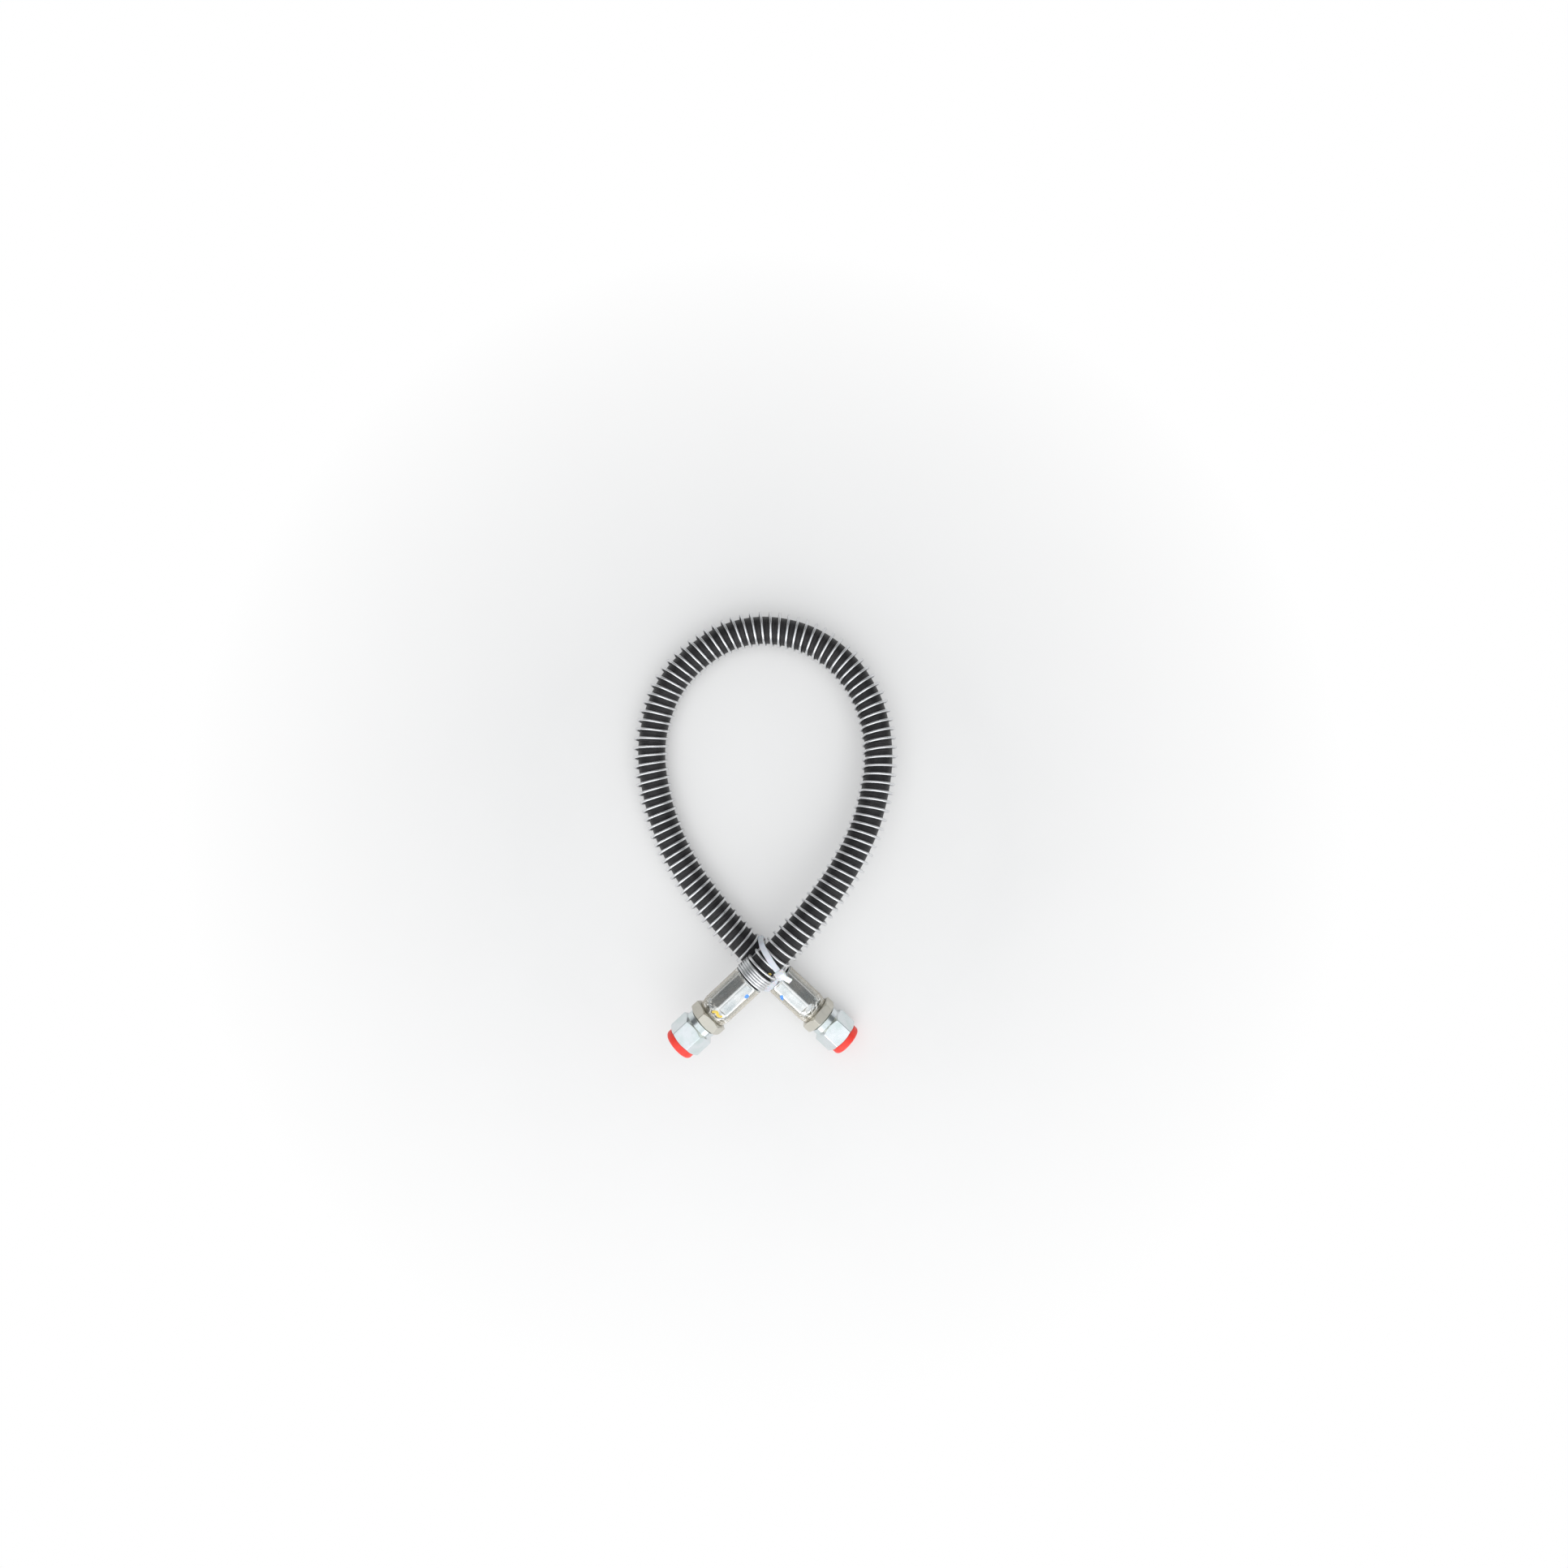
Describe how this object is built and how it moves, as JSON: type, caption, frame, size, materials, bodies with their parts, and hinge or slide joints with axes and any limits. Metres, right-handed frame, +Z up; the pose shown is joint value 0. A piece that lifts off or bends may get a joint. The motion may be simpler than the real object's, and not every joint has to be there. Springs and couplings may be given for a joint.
{
  "type": "spring-guarded hydraulic hose assembly",
  "caption": "Black rubber hose in a steel spring guard, bent into a loop, crossed and cable-tied, with a crimped swivel-nut fitting and a red dust plug on each end.",
  "frame": {"origin": "middle of the footprint, on the plane that the looped hose lies on", "axes": "+X to the right across the loop with the two fittings pointing down the page, +Y from the fittings to the top of the loop, +Z up from the plane it lies on"},
  "size_m": [0.2119, 0.3551, 0.0607],
  "materials": {
    "cover_rubber": "satin black, fine cloth-wrap marks running round",
    "tube_rubber": "matte",
    "braid_wire": "brassed steel wire",
    "spring_wire": "bright zinc-plated drawn wire",
    "ferrule_zinc": "zinc plated, satin",
    "stem_zinc": "zinc-nickel plated, satin, champagne tint",
    "nut_zinc": "blue-white zinc plated, satin",
    "clear_sleeve": "clear shrunk sleeve with a beige cast",
    "red_plastic": "soft moulded plastic, satin red",
    "nylon": "natural white nylon, slightly glossy"
  },
  "bodies": {
    "hose_assembly": {"hose_inner_tube": "tube_rubber", "hose_inner_braid": "braid_wire", "hose_outer_braid": "braid_wire", "hose_cover": "cover_rubber", "spring_guard": "spring_wire", "ferrule_a": "ferrule_zinc", "ferrule_b": "ferrule_zinc", "stem_a": "stem_zinc", "stem_b": "stem_zinc", "clear_sleeve_a": "clear_sleeve", "clear_sleeve_b": "clear_sleeve", "cable_tie": "nylon"},
    "nut_a": {"swivel_nut_a": "nut_zinc", "keeper_ring_a": "spring_wire"},
    "nut_b": {"swivel_nut_b": "nut_zinc", "keeper_ring_b": "spring_wire"},
    "plug_a": {"dust_plug_a": "red_plastic"},
    "plug_b": {"dust_plug_b": "red_plastic"}
  },
  "joints": [
    {"name": "nut_a_spin", "type": "hinge", "parent": "hose_assembly", "child": "nut_a", "pos_m": [0.05497, -0.15607, 0.0157], "axis": [0.7314, -0.682, 0], "continuous": true},
    {"name": "plug_a_pull", "type": "slide", "parent": "nut_a", "child": "plug_a", "axis": [0.7314, -0.682, 0], "range_m": [0, 0.04]},
    {"name": "nut_b_spin", "type": "hinge", "parent": "hose_assembly", "child": "nut_b", "pos_m": [-0.05397, -0.15057, 0.0446], "axis": [-0.7314, -0.682, 0], "continuous": true},
    {"name": "plug_b_pull", "type": "slide", "parent": "nut_b", "child": "plug_b", "axis": [-0.7314, -0.682, 0], "range_m": [0, 0.04]}
  ]
}
